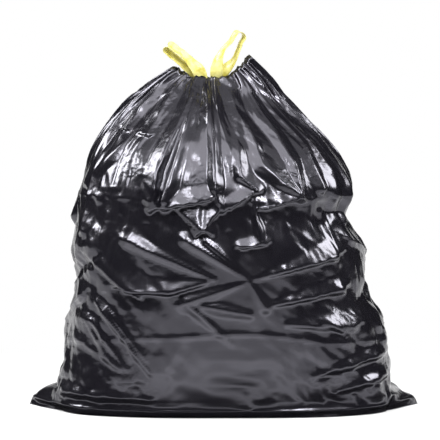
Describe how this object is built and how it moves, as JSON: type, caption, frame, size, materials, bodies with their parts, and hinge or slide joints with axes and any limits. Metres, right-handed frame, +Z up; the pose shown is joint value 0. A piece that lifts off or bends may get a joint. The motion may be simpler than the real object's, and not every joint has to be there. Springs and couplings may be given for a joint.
{
  "type": "filled bin bag",
  "caption": "Full black drawstring bin bag standing on the floor, its mouth gathered shut, with flat bottom corners and yellow tape loops to carry it by.",
  "frame": {"origin": "on the floor, below the middle of the bag's outer box", "axes": "+X to the right of the bag's front, along the bottom seam from corner to corner; +Y to its back; +Z up"},
  "size_m": [0.646, 0.4126, 0.6171],
  "materials": {
    "black_film": "glossy black polyethylene film, blown and creased",
    "yellow_tape": "thin translucent yellow polyethylene tape, satin"
  },
  "bodies": {
    "root": {"bag": "black_film", "left_tape_loop": "yellow_tape", "right_tape_loop": "yellow_tape"}
  },
  "joints": []
}
